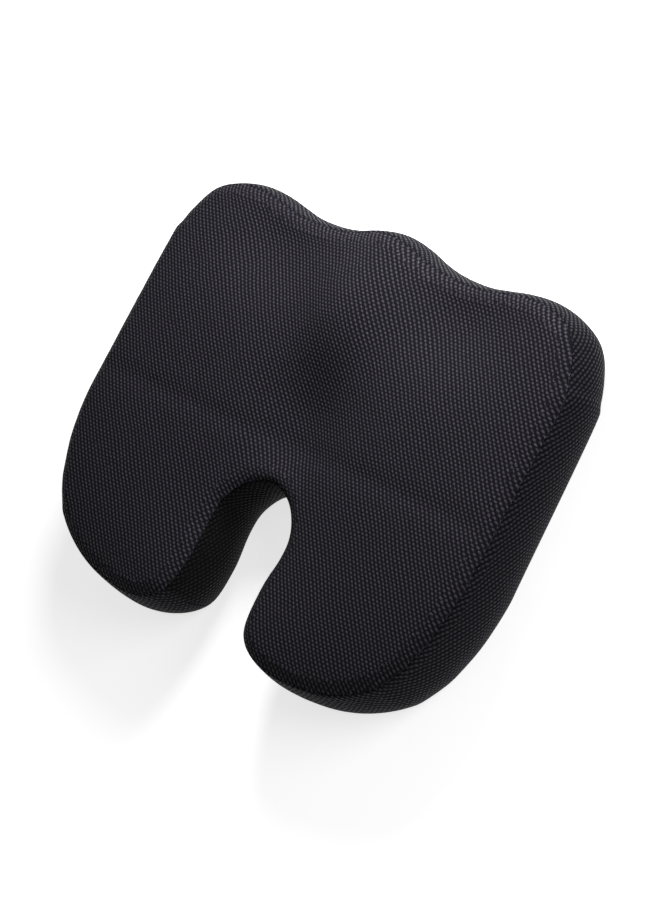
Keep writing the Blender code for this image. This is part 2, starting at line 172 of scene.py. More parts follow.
class BaseSettings(bpy.types.PropertyGroup):
    """Sizes of the dotted underside."""

    dot_pitch: FloatProperty(name="Dot pitch", description="Between neighbouring grip dots",
                             default=9 * MM, unit="LENGTH")
    dot_radius: FloatProperty(name="Dot radius", description="Radius of a grip dot", default=1.5 * MM,
                              unit="LENGTH")
    dot_height: FloatProperty(name="Dot height", description="How far a dot stands out",
                              default=0.8 * MM, unit="LENGTH")
    dot_margin: FloatProperty(name="Dot margin", description="Clear border inside the seam",
                              default=12 * MM, unit="LENGTH")


class ThreadSettings(bpy.types.PropertyGroup):
    """Sizes of the stitches."""

    pitch: FloatProperty(name="Stitch pitch", description="Between stitches", default=3.4 * MM,
                         unit="LENGTH")
    radius: FloatProperty(name="Thread radius", description="Radius of the thread", default=0.32 * MM,
                          unit="LENGTH")


class ZipSettings(bpy.types.PropertyGroup):
    """Sizes of the zip."""

    tooth_pitch: FloatProperty(name="Tooth pitch", description="Between turns of one coil",
                               default=1.5 * MM, unit="LENGTH")
    wire: FloatProperty(name="Coil wire", description="Radius of the coil's wire", default=0.34 * MM,
                        unit="LENGTH")


class StageSettings(bpy.types.PropertyGroup):
    """The camera, the lights and the floor."""

    camera_at: FloatVectorProperty(name="Camera", description="Where the camera stands",
                                   subtype="XYZ", default=(-1.4211, -0.0160, 1.6612))
    aim_at: FloatVectorProperty(name="Aim", description="The point that the camera looks at",
                                subtype="XYZ", default=(-0.0161, 0.0041, 0.0300))
    roll: FloatProperty(name="Roll", description="The camera's turn about its own line of sight",
                        default=math.radians(-65.157), subtype="ANGLE")
    lens: FloatProperty(name="Lens", description="Focal length in mm on a 36 mm sensor", default=110.49)
    key_power: FloatProperty(name="Key power", description="Power of the main light in watts",
                             default=4.9)
    glow: FloatProperty(name="Glow", description="Light that the backlit floor gives", default=0.7)
    sky: FloatProperty(name="Sky", description="Strength of the white surroundings", default=0.12)


# ---------------------------------------------------------------- helpers


def linear(code):
    """A colour from an sRGB hex code to linear RGBA."""
    values = []
    for k in (0, 2, 4):
        c = int(code[k:k + 2], 16) / 255.0
        values.append(c / 12.92 if c <= 0.04045 else ((c + 0.055) / 1.055) ** 2.4)
    return (*values, 1.0)


def add_node(tree, kind, inputs=None, **settings):
    """Add a node; inputs holds a value or another node's socket for each input."""
    made = tree.nodes.new(kind)
    for name, value in settings.items():
        setattr(made, name, value)
    for place, value in (inputs or {}).items():
        if isinstance(value, bpy.types.NodeSocket):
            tree.links.new(value, made.inputs[place])
        else:
            made.inputs[place].default_value = value
    return made


def new_material(name):
    """A material with only its output node, and its node tree."""
    made = bpy.data.materials.new(name)
    made.use_nodes = True
    made.node_tree.nodes.clear()
    return made, made.node_tree


def close_material(tree, shader):
    """Join the shader to the material's output."""
    add_node(tree, "ShaderNodeOutputMaterial", {"Surface": shader.outputs[0]})


def show(name, bm, material, body="cushion", smooth=True):
    """Turn a bmesh into a shown piece that rides on a body."""
    for face in bm.faces:
        face.smooth = smooth
    mesh = bpy.data.meshes.new(name)
    bm.to_mesh(mesh)
    bm.free()
    mesh.materials.append(material)
    item = bpy.data.objects.new(name, mesh)
    bpy.context.scene.collection.objects.link(item)
    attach(item, body)
    return item


def repeat(template, places):
    """A bmesh of one copy of the template mesh at each matrix."""
    bm = bmesh.new()
    for place in places:
        copy = template.copy()
        copy.transform(place)
        bm.from_mesh(copy)
        bpy.data.meshes.remove(copy)
    bpy.data.meshes.remove(template)
    return bm


def mesh_of(bm, name):
    """Turn a bmesh into a mesh with its normals outward."""
    bmesh.ops.recalc_face_normals(bm, faces=bm.faces)
    mesh = bpy.data.meshes.new(name)
    bm.to_mesh(mesh)
    bm.free()
    return mesh


def frame_at(origin, along, up):
    """A matrix whose X runs along the first direction and whose Z is nearest the second."""
    x = along.normalized()
    y = up.cross(x).normalized()
    z = x.cross(y)
    made = Matrix((x, y, z)).transposed().to_4x4()
    made.translation = origin
    return made


# ---------------------------------------------------------------- the rim


def merged_copy(node):
    """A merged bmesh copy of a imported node."""
    bm = bmesh.new()
    bm.from_mesh(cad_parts[node].data)
    bmesh.ops.remove_doubles(bm, verts=bm.verts, dist=1e-6)
    return bm


def underside_loop():
    """The edge of the base panel's underside, in order."""
    bm = merged_copy("base_panel")
    under = [f for f in bm.faces if f.normal.z < -0.9]
    face = bmesh.ops.dissolve_faces(bm, faces=under)["region"][0]
    loop = [v.co.copy() for v in face.verts]
    bm.free()
    return loop


class Rim:
    """The cover's upper seam as columns at even distances, from the notch's apex round by the +X side."""

    def __init__(self, count, foot_inset):
        loop = underside_loop()
        area = sum(a.x * b.y - b.x * a.y for a, b in zip(loop, loop[1:] + loop[:1]))
        if area > 0.0:
            loop.reverse()
        keys = []
        tree = kdtree.KDTree(len(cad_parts["top_panel"].data.vertices))
        for k, vertex in enumerate(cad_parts["top_panel"].data.vertices):
            tree.insert((vertex.co.x, vertex.co.y, 0.0), k)
        tree.balance()
        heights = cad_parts["top_panel"].data.vertices
        for k, point in enumerate(loop):
            along = (loop[(k + 1) % len(loop)] - loop[k - 1]).normalized()
            out = Vector((-along.y, along.x, 0.0))
            seam, _, _ = tree.find(Vector((point.x, point.y, 0.0)) + out * foot_inset)
            near = tree.find_range(seam, 1e-5)
            keys.append(Vector((seam.x, seam.y, max(heights[i].co.z for _, i, _ in near))))
        start = min(range(len(keys)), key=lambda i: abs(keys[i].x) + (1.0 if keys[i].y < 0 else 0.0))
        keys = keys[start:] + keys[:start]
        fine = self.spline(keys, 8)
        steps = np.linalg.norm(np.roll(fine, -1, 0)[:, :2] - fine[:, :2], axis=1)
        lengths = np.concatenate([[0.0], np.cumsum(steps)])
        closed = np.vstack([fine, fine[:1]])
        self.total = lengths[-1]
        self.arc = np.arange(count) * self.total / count
        self.points = np.stack([np.interp(self.arc, lengths, closed[:, k]) for k in range(3)], 1)
        self.count = count
        along = np.roll(self.points, -1, 0) - np.roll(self.points, 1, 0)
        along[:, 2] = 0.0
        along /= np.linalg.norm(along, axis=1)[:, None]
        self.along = along
        self.out = np.stack([-along[:, 1], along[:, 0], np.zeros(count)], 1)

    @staticmethod
    def spline(keys, steps):
        """Points of a closed Catmull-Rom curve."""
        p1 = np.array(keys)
        p0, p2, p3 = np.roll(p1, 1, 0), np.roll(p1, -1, 0), np.roll(p1, -2, 0)
        made = []
        for k in range(steps):
            t = k / steps
            made.append(0.5 * (2 * p1 + (p2 - p0) * t + (2 * p0 - 5 * p1 + 4 * p2 - p3) * t ** 2
                               + (3 * p1 - p0 - 3 * p2 + p3) * t ** 3))
        return np.stack(made, 1).reshape(-1, 3)

    def border(self, one, other):
        """The column where two packed gussets meet."""
        total = np.zeros(self.count)
        for node in (one, other):
            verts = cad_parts[node].data.vertices
            tree = kdtree.KDTree(len(verts))
            for k, vertex in enumerate(verts):
                tree.insert(vertex.co, k)
            tree.balance()
            total += [tree.find(p - np.array((0.0, 0.0, 4 * MM)))[2] for p in self.points]
        return int(np.argmin(total))

    def inside(self, xy):
        """Distances from points in plan to the seam."""
        a = self.points[:, :2]
        side = np.roll(a, -1, 0) - a
        best = np.full(len(xy), 1e9)
        for start, run in zip(a, side):
            share = np.clip(((xy - start) @ run) / (run @ run), 0.0, 1.0)
            away = np.linalg.norm(xy - start - share[:, None] * run, axis=1)
            best = np.minimum(best, away)
        return best

    def seam_height(self, xy):
        """The seam's height carried smoothly to points in plan, each column weighed by its nearness."""
        away = np.linalg.norm(xy[:, None, :] - self.points[None, :, :2], axis=2)
        weight = 1.0 / np.maximum(away, 1e-5) ** 3
        return (weight @ self.points[:, 2]) / weight.sum(1)


class Body:
    """The whole cover as one closed shell: its mesh object and what each vertex is."""

    def __init__(self, cover):
        self.cover = cover
        self.rim = Rim(cover.columns, cover.foot_inset)
        rim = self.rim
        self.mouth_left = rim.border("gusset_notch", "gusset_rear_left")
        self.mouth_right = rim.border("gusset_notch", "gusset_front_right")
        self.zip_rear = rim.border("gusset_rear_left", "gusset_zip_upper")
        self.zip_front = rim.border("gusset_zip_upper", "gusset_front_right")
        upper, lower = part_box("gusset_zip_upper")[0].z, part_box("gusset_zip_lower")[1].z
        self.zip_middle = (upper + lower) / 2.0
        self.heights = self.row_heights(upper, lower)
        self.zip_row = len(ROWS_UNDER_SEAM) + len(SHARES_TO_ZIP) + 1

    def row_heights(self, upper, lower):
        """The height of each wall row at each column, from the seam down."""
        seam = self.rim.points[:, 2]
        rows = [seam] + [seam - gap * MM for gap in ROWS_UNDER_SEAM]
        rows += [rows[-1] + (upper - rows[-1]) * share for share in SHARES_TO_ZIP]
        flat = [upper, self.zip_middle, lower] + [z * MM for z in ROWS_ABOVE_FLOOR] + [0.0]
        return np.array(rows + [np.full(self.rim.count, z) for z in flat])

    def wall(self, columns, z):
        """Points of the side wall at columns and heights."""
        cover, rim = self.cover, self.rim
        share = np.clip(z / rim.points[columns, 2], 0.0, 1.0)
        foot = np.maximum(0.0, 1.0 - z / cover.foot_reach) ** 2
        offset = cover.swell * np.sin(math.pi * share) ** 0.8 - cover.foot_inset * foot
        made = rim.points[columns] + rim.out[columns] * offset[:, None]
        made[:, 2] = z
        return made

    def top(self, xy):
        """Heights of the top at points in plan."""
        cover = self.cover
        inside = self.rim.inside(xy)
        rise = 1.0 - np.exp(-inside / cover.crown_reach)
        moulded = np.zeros(len(xy))
        for cx, cy, wide, deep, height in CONTOURS:
            x, y = (xy[:, 0] / MM - cx) / wide, (xy[:, 1] / MM - cy) / deep
            moulded += height * MM * np.exp(-x ** 2 - y ** 2)
        start, slope, half, depth = CREASE
        across = (xy[:, 1] / MM - start - slope * xy[:, 0] / MM) / half
        moulded += depth * MM * np.exp(-across ** 2)
        away, half, height = BEAD
        bead = height * MM * np.exp(-((inside / MM - away) / half) ** 2) * rise
        return self.rim.seam_height(xy) + cover.crown * rise + moulded * rise ** 2 + bead

    def number(self, row, column):
        """The panel that a wall face belongs to."""
        if column < self.mouth_left or column >= self.mouth_right:
            return NOTCH
        if column < self.zip_rear:
            return REAR
        if column >= self.zip_front:
            return SIDE
        if row < self.zip_row:
            return ZIP_UPPER
        return {0: TAPE_UPPER, 1: TAPE_LOWER}.get(row - self.zip_row, ZIP_LOWER)

    def build(self):
        """Make the shell: the top's mesh, the rows of the side wall and the base."""
        rim, cover = self.rim, self.cover
        bm = bmesh.new()
        row_of = bm.verts.layers.int.new("row")
        column_of = bm.verts.layers.int.new("column")
        panel_of = bm.faces.layers.int.new("panel")
        ring = [bm.verts.new(p) for p in rim.points]
        for k, vertex in enumerate(ring):
            vertex[column_of] = k
        face = bm.faces.new(ring[::-1])
        done = 0.0
        for gap in RIM_RINGS:
            bmesh.ops.inset_region(bm, faces=[face], thickness=(gap - done) * MM, use_boundary=True,
                                   use_even_offset=True)
            done = gap
        self.slice(bm, face, cover.cell)
        for vertex in bm.verts:
            vertex[row_of] = -1
        for k, vertex in enumerate(ring):
            vertex[row_of] = 0
            vertex[column_of] = k
        columns = np.arange(rim.count)
        above = ring
        for row in range(1, len(self.heights)):
            place = {v.co.to_tuple(7): k for k, v in enumerate(above)}
            edges = [bm.edges.get((above[k - 1], above[k])) for k in range(rim.count)]
            made = bmesh.ops.extrude_edge_only(bm, edges=edges)["geom"]
            points = self.wall(columns, self.heights[row])
            below = [None] * rim.count
            for vertex in (v for v in made if isinstance(v, bmesh.types.BMVert)):
                k = place[vertex.co.to_tuple(7)]
                below[k] = vertex
                vertex[row_of], vertex[column_of] = row, k
            for k, vertex in enumerate(below):
                vertex.co = points[k]
            above = below
        base = bm.faces.new(above)
        for item in bm.faces:
            rows = [v[row_of] for v in item.verts]
            if item == base:
                item[panel_of] = BASE
            elif min(rows) < 0 or max(rows) == 0:
                item[panel_of] = TOP
            else:
                found = [v[column_of] for v in item.verts]
                wraps = max(found) - min(found) > 1
                item[panel_of] = self.number(min(rows), max(found) if wraps else min(found))
        bmesh.ops.recalc_face_normals(bm, faces=bm.faces)
        mesh = bpy.data.meshes.new("cover_shell")
        bm.to_mesh(mesh)
        bm.free()
        self.item = bpy.data.objects.new("cover_shell", mesh)
        bpy.context.scene.collection.objects.link(self.item)
        self.rows = self.read("row")
        self.columns = self.read("column")
        points = self.points()
        is_top = self.rows < 0
        points[is_top, 2] = self.top(points[is_top, :2])
        self.seam_gap = rim.inside(points[:, :2])
        wall = self.rows >= 0
        self.seam_gap[wall] = rim.points[self.columns[wall], 2] - points[wall, 2]
        self.write(points)

    @staticmethod
    def slice(bm, face, cell):
        """Cut the flat inner face of the top into cells."""
        low, high = CAD_BOX
        for axis in (0, 1):
            normal = Vector((1.0 - axis, float(axis), 0.0))
            for k in range(int(low[axis] / cell), int(high[axis] / cell) + 1):
                if axis == 0 and k == int(low[axis] / cell):
                    inner = [face]
                geom = list({e for f in inner for e in (*f.verts, *f.edges)}) + inner
                cut = bmesh.ops.bisect_plane(bm, geom=geom, dist=1e-6, plane_co=normal * (k + 0.5) * cell,
                                             plane_no=normal)["geom"]
                inner = [g for g in cut if isinstance(g, bmesh.types.BMFace)]

    def read(self, name):
        """An integer attribute of the shell's points."""
        values = np.zeros(len(self.item.data.vertices), np.int32)
        self.item.data.attributes[name].data.foreach_get("value", values)
        return values

    def points(self):
        """Where the shell's points lie."""
        made = np.zeros(len(self.item.data.vertices) * 3)
        self.item.data.vertices.foreach_get("co", made)
        return made.reshape(-1, 3)

    def normals(self):
        """The shell's point normals."""
        made = np.zeros(len(self.item.data.vertices) * 3)
        self.item.data.vertex_normals.foreach_get("vector", made)
        return made.reshape(-1, 3)

    def write(self, points):
        """Move the shell's points."""
        self.item.data.vertices.foreach_set("co", points.ravel())
        self.item.data.update()

    def inflate(self):
        """Fill the shell as cloth held along its seams, the zip and the base, and cap how far it swells."""
        rest = self.points()
        zip_rows = (self.rows >= self.zip_row - 1) & (self.rows <= self.zip_row + 3)
        zip_side = (self.columns >= self.zip_rear - 2) & (self.columns <= self.zip_front + 2)
        held = (self.rows == 0) | (self.rows >= len(self.heights) - 2) | (zip_rows & zip_side)
        group = self.item.vertex_groups.new(name="held")
        group.add([int(k) for k in np.flatnonzero(held)], 1.0, "REPLACE")
        cloth = self.item.modifiers.new("inflate", "CLOTH")
        cloth.settings.quality = CLOTH_QUALITY
        cloth.settings.vertex_group_mass = "held"
        cloth.settings.use_pressure = True
        cloth.settings.uniform_pressure_force = self.cover.pressure
        cloth.settings.effector_weights.gravity = 0.0
        cloth.point_cache.frame_start, cloth.point_cache.frame_end = 1, CLOTH_FRAMES
        for moment in range(1, CLOTH_FRAMES + 1):
            bpy.context.scene.frame_set(moment)
        shown = self.item.evaluated_get(bpy.context.evaluated_depsgraph_get())
        moved = np.zeros(len(rest) * 3)
        shown.data.vertices.foreach_get("co", moved)
        change = moved.reshape(-1, 3) - rest
        self.item.modifiers.remove(cloth)
        bpy.context.scene.frame_set(1)
        size = np.linalg.norm(change, axis=1)
        cap = self.cover.puff
        change *= (cap * np.tanh(size / cap) / np.maximum(size, 1e-9))[:, None]
        change[~np.isfinite(change)] = 0.0
        self.write(rest + change)

    def pinch(self):
        """Turn the seams in: the fabric rolls inwards beside the upper and the lower seam."""
        points = self.points()
        foot_gap = np.where(self.rows > 0, points[:, 2], 1.0)
        gap = np.minimum(self.seam_gap, foot_gap)
        near = np.clip(1.0 - gap / self.cover.seam_width, 0.0, 1.0)
        points -= self.normals() * (self.cover.seam_depth * near ** PINCH_POWER)[:, None]
        self.write(points)

    def ring(self, row):
        """The points of one wall row, in order of columns."""
        points, found = self.points(), np.flatnonzero(self.rows == row)
        return points[found[np.argsort(self.columns[found])]]

    def weave_places(self, number):
        """Where each vertex lies on its panel's flat fabric, in metres."""
        points = self.points()
        made = points.copy()
        made[:, 2] = 0.0
        if number == TOP:
            return made
        rings = np.stack([self.ring(row) for row in range(len(self.heights))])
        steps = np.linalg.norm(rings[:-1] - rings[1:], axis=2)
        down = np.concatenate([np.zeros((1, self.rim.count)), np.cumsum(steps, 0)])
        wall = self.rows >= 0
        arc = self.rim.arc[self.columns[wall]]
        if number == NOTCH:
            arc = np.where(arc > self.rim.total / 2.0, arc - self.rim.total, arc)
        made[wall, 0] = arc
        made[wall, 1] = -down[self.rows[wall], self.columns[wall]]
        return made

    def panel(self, number):
        """One panel of the shell as a bmesh with its fabric places."""
        weave = self.weave_places(number)
        bm = bmesh.new()
        bm.from_mesh(self.item.data)
        panel_of = bm.faces.layers.int["panel"]
        place = bm.verts.layers.float_vector.new("weave")
        for vertex, spot in zip(bm.verts, weave):
            vertex[place] = spot
        others = [f for f in bm.faces if f[panel_of] != number]
        bmesh.ops.delete(bm, geom=others, context="FACES")
        for name in ("row", "column"):
            bm.verts.layers.int.remove(bm.verts.layers.int[name])
        bm.faces.layers.int.remove(bm.faces.layers.int["panel"])
        return bm

    def along_ring(self, row, pitch):
        """Evenly spaced places on one row: point, direction along it and the way out."""
        ring = self.ring(row)
        steps = np.linalg.norm(np.roll(ring, -1, 0) - ring, axis=1)
        lengths = np.concatenate([[0.0], np.cumsum(steps)])
        closed = np.vstack([ring, ring[:1]])
        count = int(lengths[-1] / pitch)
        for k in range(count):
            spots = [(k + shift) * lengths[-1] / count for shift in (-0.4, 0.0, 0.4)]
            before, here, after = (
                Vector([np.interp(s % lengths[-1], lengths, closed[:, a]) for a in range(3)]) for s in spots
            )
            along = (after - before).normalized()
            flat = Vector((along.x, along.y, 0.0)).normalized()
            yield here, along, Vector((-flat.y, flat.x, 0.0))

    def on_wall(self, arc, z, proud=0.0):
        """A point of the side wall at an outline length and a height, and the directions there."""
        column = arc / self.rim.total * self.rim.count
        low = int(column) % self.rim.count
        high = (low + 1) % self.rim.count
        ends = self.wall(np.array([low, high]), np.array([z, z]))
        share = column - int(column)
        out = Vector(self.rim.out[low] * (1.0 - share) + self.rim.out[high] * share).normalized()
        point = Vector(ends[0] * (1.0 - share) + ends[1] * share) + out * proud
        return point, Vector(self.rim.along[low]), out


BODY = {}


def sewn_body():
    """The inflated and pinched shell, made once for all the operators that need it."""
    if "made" not in BODY:
        cover = bpy.context.scene.cushion_cover
        body = Body(cover)
        body.build()
        body.inflate()
        body.plump = (body.points(), body.normals())
        body.pinch()
        BODY["made"] = body
    return BODY["made"]


# ---------------------------------------------------------------- materials


def lattice(tree, place, cover, turn):
    """The field of a centred lattice of knots, about -1.7 between them and 3 on their crowns."""
    across, along = 1.0 / cover.knot_pitch_across, 1.0 / cover.knot_pitch_along
    total = None
    for fx, fy, share in ((across, along, 1.65), (-across, along, 0.7), (0.0, 2.0 * along, 0.65)):
        wave = Matrix.Rotation(turn, 2) @ Vector((fx, fy)) * math.tau
        phase = add_node(tree, "ShaderNodeVectorMath", {0: place, 1: (wave.x, wave.y, 0.0)},
                         operation="DOT_PRODUCT")
        swing = add_node(tree, "ShaderNodeMath", {0: phase.outputs["Value"]}, operation="COSINE")
        swing = add_node(tree, "ShaderNodeMath", {0: swing.outputs[0], 1: share}, operation="MULTIPLY")
        if total is None:
            total = swing
        else:
            total = add_node(tree, "ShaderNodeMath", {0: total.outputs[0], 1: swing.outputs[0]},
                             operation="ADD")
    return total.outputs[0]


def spacer_mesh(name, cover, turn, knot_colour_and_sheen, opening_colour_and_shade):
    """Black polyester spacer mesh, warp-knitted: raised, faintly shiny knots over dark openings."""
    made, tree = new_material(name)
    flat = add_node(tree, "ShaderNodeAttribute", attribute_name="weave")
    # The knit wanders by about a millimetre every few centimetres.
    drift = add_node(tree, "ShaderNodeTexNoise", {"Vector": flat.outputs["Vector"], "Scale": 28.0,
                                                  "Detail": 1.0})
    shift = add_node(tree, "ShaderNodeVectorMath", {0: drift.outputs["Color"], 1: (0.5, 0.5, 0.5)},
                     operation="SUBTRACT")
    small = add_node(tree, "ShaderNodeVectorMath", {0: shift.outputs[0], "Scale": 3.0 * MM},
                     operation="SCALE")
    place = add_node(tree, "ShaderNodeVectorMath", {0: flat.outputs["Vector"], 1: small.outputs[0]},
                     operation="ADD")
    field = lattice(tree, place.outputs[0], cover, turn)
    knot = add_node(tree, "ShaderNodeMapRange", {"Value": field, "From Min": -0.9, "From Max": 2.3},
                    interpolation_type="SMOOTHSTEP")
    # Filaments of 0.1 mm are too fine to show, so they are drawn as 1 mm streaks.
    yarn = add_node(tree, "ShaderNodeTexNoise", {"Vector": place.outputs[0], "Scale": 700.0, "Detail": 2.0})
    dull = add_node(tree, "ShaderNodeMapRange", {"Value": yarn.outputs[0], "From Min": 0.3, "From Max": 0.7,
                                                 "To Min": 0.6, "To Max": 1.4})
    # Both colours start from the black yarn: the openings' darker ground is painted shade inside the knit,
    # and the knots' lighter colour is partly painted sheen.
    lit = add_node(tree, "ShaderNodeVectorMath", {0: linear(knot_colour_and_sheen)[:3], "Scale": dull.outputs[0]},
                   operation="SCALE")
    colour = add_node(tree, "ShaderNodeMix", {"Factor": knot.outputs[0], "A": linear(opening_colour_and_shade),
                                              "B": lit.outputs[0]}, data_type="RGBA")
    rough = add_node(tree, "ShaderNodeMapRange", {"Value": knot.outputs[0], "To Min": 0.95, "To Max": 0.5})
    relief = add_node(tree, "ShaderNodeMath", {0: yarn.outputs[0], 1: 0.2, 2: knot.outputs[0]},
                      operation="MULTIPLY_ADD")
    bump = add_node(tree, "ShaderNodeBump", {"Height": relief.outputs[0], "Strength": 0.8,
                                             "Distance": 0.8 * MM})
    shader = add_node(tree, "ShaderNodeBsdfPrincipled", {
        "Base Color": colour.outputs["Result"], "Roughness": rough.outputs[0], "Normal": bump.outputs[0],
        "IOR": 1.5, "Specular IOR Level": 0.12, "Sheen Weight": 0.01, "Sheen Roughness": 0.35})
    close_material(tree, shader)
    return made


def woven(name, colour, pitch, roughness, attribute=""):
    """A plain weave: crossing threads, drawn from two crossed waves of the given pitch."""
    made, tree = new_material(name)
    if attribute:
        place = add_node(tree, "ShaderNodeAttribute", attribute_name=attribute).outputs["Vector"]
    else:
        place = add_node(tree, "ShaderNodeTexCoord").outputs["Object"]
    waves = []
    for axis in ((1.0, 0.0, 0.0), (0.0, 1.0, 0.0)):
        wave = tuple(a * math.pi / pitch for a in axis)
        phase = add_node(tree, "ShaderNodeVectorMath", {0: place, 1: wave}, operation="DOT_PRODUCT")
        waves.append(add_node(tree, "ShaderNodeMath", {0: phase.outputs["Value"]}, operation="SINE"))
    over = add_node(tree, "ShaderNodeMath", {0: waves[0].outputs[0], 1: waves[1].outputs[0]},
                    operation="MULTIPLY")
    height = add_node(tree, "ShaderNodeMath", {0: over.outputs[0]}, operation="ABSOLUTE")
    wear = add_node(tree, "ShaderNodeTexNoise", {"Vector": place, "Scale": 60.0, "Detail": 3.0})
    # The colour follows the threads' height: darker in the gaps between threads as painted shade, lighter
    # on their crowns as painted highlight, and varied at random by the noise.
    tone = add_node(tree, "ShaderNodeMath", {0: height.outputs[0], 1: wear.outputs[0]},
                    operation="MULTIPLY")
    shade = add_node(tree, "ShaderNodeMapRange", {"Value": tone.outputs[0], "To Min": 0.6, "To Max": 1.9})
    tinted = add_node(tree, "ShaderNodeVectorMath", {0: linear(colour)[:3], "Scale": shade.outputs[0]},
                      operation="SCALE")
    bump = add_node(tree, "ShaderNodeBump", {"Height": height.outputs[0], "Strength": 0.6,
                                             "Distance": 0.25 * pitch})
    shader = add_node(tree, "ShaderNodeBsdfPrincipled", {
        "Base Color": tinted.outputs[0], "Roughness": roughness, "Normal": bump.outputs[0], "IOR": 1.5,
        "Specular IOR Level": 0.3})
    close_material(tree, shader)
    return made


def grained(name, colour, roughness, scale, distance, coat=0.0, spread=0.15, glow=0.0):
    """A solid finish with a fine grain of the given scale (1/m) that also varies its colour."""
    made, tree = new_material(name)
    place = add_node(tree, "ShaderNodeTexCoord").outputs["Object"]
    grain = add_node(tree, "ShaderNodeTexNoise", {"Vector": place, "Scale": scale, "Detail": 3.0})
    shade = add_node(tree, "ShaderNodeMapRange", {"Value": grain.outputs[0], "From Min": 0.25,
                                                  "From Max": 0.75, "To Min": 1.0 - spread,
                                                  "To Max": 1.0 + spread})
    tinted = add_node(tree, "ShaderNodeVectorMath", {0: linear(colour)[:3], "Scale": shade.outputs[0]},
                      operation="SCALE")
    rough = add_node(tree, "ShaderNodeMapRange", {"Value": grain.outputs[0], "To Min": roughness - 0.06,
                                                  "To Max": roughness + 0.06})
    bump = add_node(tree, "ShaderNodeBump", {"Height": grain.outputs[0], "Strength": 0.5,
                                             "Distance": distance})
    shader = add_node(tree, "ShaderNodeBsdfPrincipled", {
        "Base Color": tinted.outputs[0], "Roughness": rough.outputs[0], "Normal": bump.outputs[0],
        "Coat Weight": coat, "Coat Roughness": 0.2,
        "Emission Color": (1.0, 1.0, 1.0, 1.0), "Emission Strength": glow})
    close_material(tree, shader)
    return made


# ---------------------------------------------------------------- operators


class CUSHION_OT_foam(bpy.types.Operator):
    """Build the moulded foam core inside the cover"""

    bl_idname = "cushion.foam"
    bl_label = "Foam core"

    def execute(self, context):
        body = sewn_body()
        points, normals = body.plump
        inner = points - normals * FOAM_INSET
        inner[:, 2] = np.maximum(inner[:, 2], FOAM_FLOOR)
        bm = bmesh.new()
        bm.from_mesh(body.item.data)
        for vertex, point in zip(bm.verts, inner):
            vertex.co = point
        # Open-cell memory foam, moulded: pale, dull, with half-millimetre cells.
        foam = grained("memory_foam", "d8d2c0", 0.9, 1800.0, 0.3 * MM)
        item = show("foam_padding", bm, foam)
        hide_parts("foam_core")
        return {"FINISHED"}


class CUSHION_OT_cover(bpy.types.Operator):
    """Build the cover's sewn fabric panels"""

    bl_idname = "cushion.cover"
    bl_label = "Cover panels"

    def execute(self, context):
        body, cover = sewn_body(), context.scene.cushion_cover
        on_top = spacer_mesh("spacer_mesh_top", cover, math.radians(2.5), "423f49", "141317")
        # The side walls are the same cloth as the top, drawn with darker yarn colours as painted shade for
        # walls turned away from the light.
        on_side_shaded = spacer_mesh("spacer_mesh_gusset", cover, math.radians(86.0), "33323c", "0c0c0f")
        # In the notch the same cloth lies in deep shade, so its yarn is drawn darker.
        in_notch = spacer_mesh("spacer_mesh_notch", cover, math.radians(86.0), "121115", "050506")
        cloths = {TOP: on_top, NOTCH: in_notch}
        for number, name, node in FABRIC_PANELS:
            item = show(name, body.panel(number), cloths.get(number, on_side_shaded))
            wall = item.modifiers.new("fabric", "SOLIDIFY")
            wall.thickness = cover.thickness
            wall.offset = -1.0
            smooth = item.modifiers.new("smooth", "SUBSURF")
            smooth.levels = smooth.render_levels = 1
            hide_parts(node)
        return {"FINISHED"}


class CUSHION_OT_base(bpy.types.Operator):
    """Build the underside and its grip dots"""

    bl_idname = "cushion.base"
    bl_label = "Base"

    def execute(self, context):
        body, base = sewn_body(), context.scene.cushion_base
        bm = body.panel(BASE)
        bmesh.ops.inset_region(bm, faces=bm.faces[:], thickness=BASE_TURN_IN, use_boundary=True,
                               use_even_offset=True)
        middle = max(bm.faces, key=lambda f: f.calc_area())
        for vertex in middle.verts:
            vertex.co.z = base.dot_height
        bmesh.ops.recalc_face_normals(bm, faces=bm.faces)
        if middle.normal.z > 0.0:
            bmesh.ops.reverse_faces(bm, faces=bm.faces)
        # Plain-woven polyester; its 0.5 mm threads are drawn at 1.4 mm so that they show.
        cloth = woven("woven_base_cloth", "232325", 1.4 * MM, 0.85)
        item = show("cover_base_cloth", bm, cloth, smooth=False)
        wall = item.modifiers.new("cloth", "SOLIDIFY")
        wall.thickness = BASE_THICKNESS
        wall.offset = -1.0
        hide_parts("base_panel")

        dot = bmesh.new()
        bmesh.ops.create_cone(dot, cap_ends=True, segments=10, radius1=base.dot_radius * 0.55,
                              radius2=base.dot_radius, depth=base.dot_height)
        bmesh.ops.translate(dot, verts=dot.verts, vec=(0.0, 0.0, base.dot_height / 2.0))
        edge = [e for e in dot.edges if all(v.co.z < 1e-6 for v in e.verts)]
        bmesh.ops.bevel(dot, geom=edge, offset=0.3 * base.dot_height, segments=1, profile=0.5,
                        affect="EDGES", material=-1)
        low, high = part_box("base_panel")
        rise = base.dot_pitch * math.sqrt(0.75)
        spots = []
        for j in range(int((high.y - low.y) / rise) + 1):
            for i in range(int((high.x - low.x) / base.dot_pitch) + 2):
                spots.append((low.x + (i - 0.5 * (j % 2)) * base.dot_pitch, low.y + j * rise))
        foot = body.ring(len(body.heights) - 1)[:, :2]
        spots = np.array(spots)
        kept = spots[inside_loop(spots, foot) & (body.rim.inside(spots) > base.dot_margin)]
        places = [Matrix.Translation((x, y, 0.0)) for x, y in kept]
        # Moulded silicone rubber: smooth, slightly glossy drops.
        rubber = grained("silicone_rubber", "1b1b1d", 0.42, 400.0, 0.05 * MM)
        dots = show("base_grip_dots", repeat(mesh_of(dot, "grip_dot"), places), rubber)
        return {"FINISHED"}


